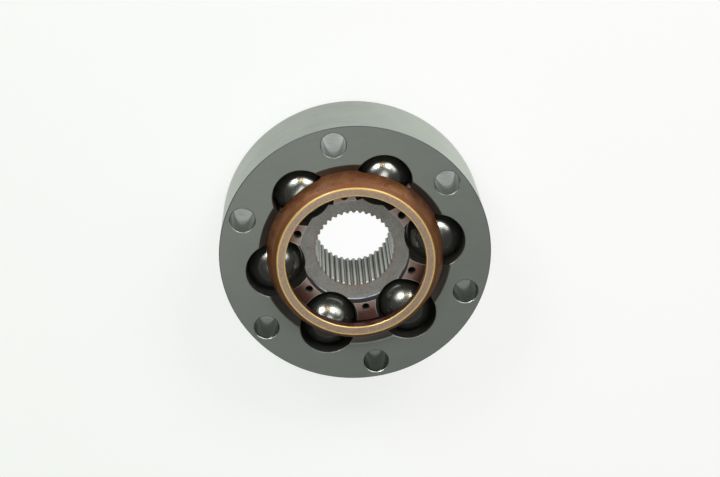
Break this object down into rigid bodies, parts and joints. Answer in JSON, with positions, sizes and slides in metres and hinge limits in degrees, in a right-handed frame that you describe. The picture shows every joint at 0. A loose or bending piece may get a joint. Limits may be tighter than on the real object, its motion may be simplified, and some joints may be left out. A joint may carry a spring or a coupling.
{
  "type": "constant velocity joint",
  "caption": "fixed ball-type constant velocity joint with a bolted disc outer race, curved ball ways, a windowed cage and a splined inner race",
  "frame": {"origin": "centre of the outer race's back face, which is the base that the joint stands on", "axes": "+Z along the shaft axis from the base to the open front of the joint; +X from the shaft axis through the centre of ball_1; +Y completes the right-handed frame"},
  "size_m": [0.108, 0.108, 0.0429],
  "materials": {
    "race": "satin slate-grey forged steel, turned and induction hardened",
    "cage": "copper-brown tempered steel with ground, gold-edged end rings",
    "inner_race": "taupe-grey heat-tinted steel with faint blue and red-brown bands",
    "ball": "polished black-chrome bearing ball"
  },
  "bodies": {
    "outer_race": {"outer_race": "race"},
    "cage": {"cage": "cage"},
    "inner_race": {"inner_race": "inner_race"},
    "ball_1": {"ball_1": "ball"},
    "ball_2": {"ball_2": "ball"},
    "ball_3": {"ball_3": "ball"},
    "ball_4": {"ball_4": "ball"},
    "ball_5": {"ball_5": "ball"},
    "ball_6": {"ball_6": "ball"}
  },
  "joints": [
    {"name": "articulation", "type": "hinge", "parent": "outer_race", "child": "inner_race", "pos_m": [0, 0, 0.0245], "axis": [1, 0, 0], "range_deg": [-20, 20]},
    {"name": "cage_tilt", "type": "hinge", "parent": "outer_race", "child": "cage", "pos_m": [0, 0, 0.0245], "axis": [1, 0, 0], "range_deg": [-10, 10]},
    {"name": "ball_1_spin", "type": "hinge", "parent": "cage", "child": "ball_1", "pos_m": [0.0329, 0, 0.0245], "axis": [1, 0, 0], "continuous": true},
    {"name": "ball_2_slide", "type": "slide", "parent": "cage", "child": "ball_2", "axis": [0.5, 0.866, 0], "range_m": [-0.0007, 0.0007]},
    {"name": "ball_3_slide", "type": "slide", "parent": "cage", "child": "ball_3", "axis": [-0.5, 0.866, 0], "range_m": [-0.0007, 0.0007]},
    {"name": "ball_4_spin", "type": "hinge", "parent": "cage", "child": "ball_4", "pos_m": [-0.0329, 0, 0.0245], "axis": [1, 0, 0], "continuous": true},
    {"name": "ball_5_slide", "type": "slide", "parent": "cage", "child": "ball_5", "axis": [-0.5, -0.866, 0], "range_m": [-0.0007, 0.0007]},
    {"name": "ball_6_slide", "type": "slide", "parent": "cage", "child": "ball_6", "axis": [0.5, -0.866, 0], "range_m": [-0.0007, 0.0007]}
  ],
  "couplings": [
    {"joint": "cage_tilt", "follows": "articulation", "ratio": 0.5},
    {"joint": "ball_2_slide", "follows": "articulation", "m_per_rad": 0.0017321},
    {"joint": "ball_3_slide", "follows": "articulation", "m_per_rad": 0.0017321},
    {"joint": "ball_5_slide", "follows": "articulation", "m_per_rad": -0.0017321},
    {"joint": "ball_6_slide", "follows": "articulation", "m_per_rad": -0.0017321}
  ]
}
